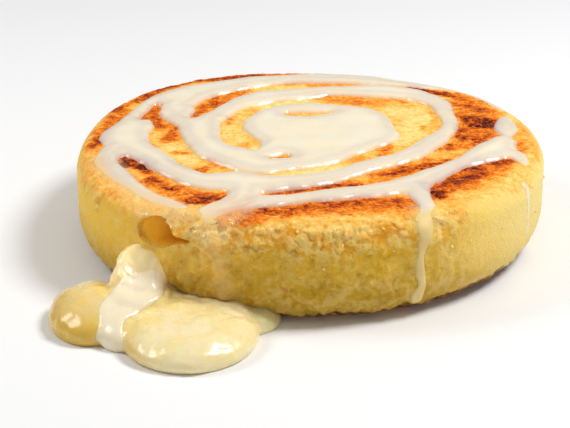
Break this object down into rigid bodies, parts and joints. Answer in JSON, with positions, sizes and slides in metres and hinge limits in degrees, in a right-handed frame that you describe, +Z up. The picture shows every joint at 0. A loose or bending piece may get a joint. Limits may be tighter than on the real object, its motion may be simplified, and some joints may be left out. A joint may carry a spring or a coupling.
{
  "type": "sweet corn arepa",
  "caption": "Thick round sweet corn cake, browned on top and torn at the side, with melted cheese run out into a puddle and condensed milk poured over in a loose spiral.",
  "frame": {"origin": "centre of the cake's flat underside, on the surface that it lies on", "axes": "+Z up out of the browned top, -Y to the front, +X to the right as seen from the front; the tear and the puddle of cheese are at the front left"},
  "size_m": [0.1104, 0.1295, 0.0242],
  "materials": {
    "corn_cake": "baked corn crumb with a browned, slightly greasy crust",
    "melted_cheese": "soft, wet and slightly translucent",
    "condensed_milk": "thick, smooth and glossy"
  },
  "bodies": {
    "root": {"arepa": "corn_cake", "cheese": "melted_cheese"}
  },
  "joints": []
}
